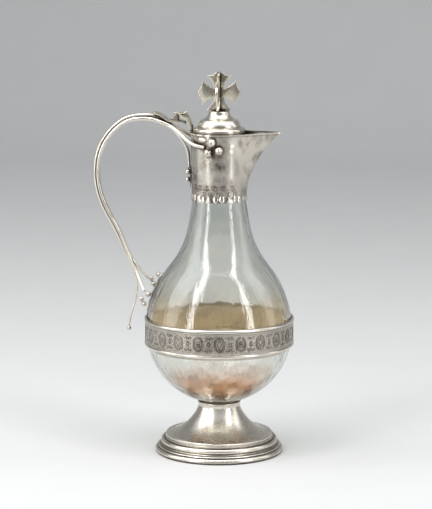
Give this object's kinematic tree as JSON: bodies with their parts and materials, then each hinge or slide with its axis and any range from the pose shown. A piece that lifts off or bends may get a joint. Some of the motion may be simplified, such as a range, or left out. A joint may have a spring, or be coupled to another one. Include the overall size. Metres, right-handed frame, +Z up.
{
  "type": "altar cruet",
  "caption": "Stemmed glass bottle with a silver foot, engraved girdle, vine handle, spouted collar and a hinged domed lid with a cross finial.",
  "frame": {"origin": "centre of the circle on which the foot stands, on the axis of the bottle", "axes": "+Z up along the axis of the bottle, +X towards the spout, -X towards the handle, +Y to the far side"},
  "size_m": [0.1196, 0.089, 0.2265],
  "materials": {
    "silver": "aged polished silver with tarnish in the grooves",
    "glass": "clear blown glass",
    "plaster": "aged tan setting plaster"
  },
  "bodies": {
    "cruet": {"back_berry_1": "silver", "back_berry_2": "silver", "back_berry_3": "silver", "back_leaf": "silver", "collar_rim_wire": "silver", "far_stem": "silver", "foot_lip_ring": "silver", "foot_plaster": "plaster", "foot_shell": "silver", "girdle_band": "silver", "girdle_cement": "plaster", "girdle_lower_wire": "silver", "girdle_upper_wire": "silver", "glass_bottle": "glass", "handle_bracket": "silver", "hinge_pin": "silver", "hinge_strap": "silver", "lid_seat_ledge": "silver", "lower_far_berry_1": "silver", "lower_far_berry_2": "silver", "lower_far_berry_3": "silver", "lower_near_berry_1": "silver", "lower_near_berry_2": "silver", "lower_near_berry_3": "silver", "middle_stem": "silver", "near_stem": "silver", "neck_collar": "silver", "neck_plaster": "plaster", "neck_tab_ring": "silver", "strap_rivet": "silver", "tendril_bud": "silver", "upper_far_berry_1": "silver", "upper_far_berry_2": "silver", "upper_far_berry_3": "silver", "upper_far_leaf": "silver", "upper_near_berry_1": "silver", "upper_near_berry_2": "silver", "upper_near_berry_3": "silver", "upper_near_leaf": "silver"},
    "lid": {"lid_cover": "silver", "lid_bezel": "silver", "lid_arm": "silver", "finial_stud": "silver", "finial_nut": "silver", "finial_long_plate": "silver", "finial_cross_plate": "silver"}
  },
  "joints": [
    {"name": "lid_hinge", "type": "hinge", "parent": "cruet", "child": "lid", "pos_m": [-0.0257, 0, 0.19954], "axis": [0, -1, 0], "range_deg": [0, 100]}
  ]
}
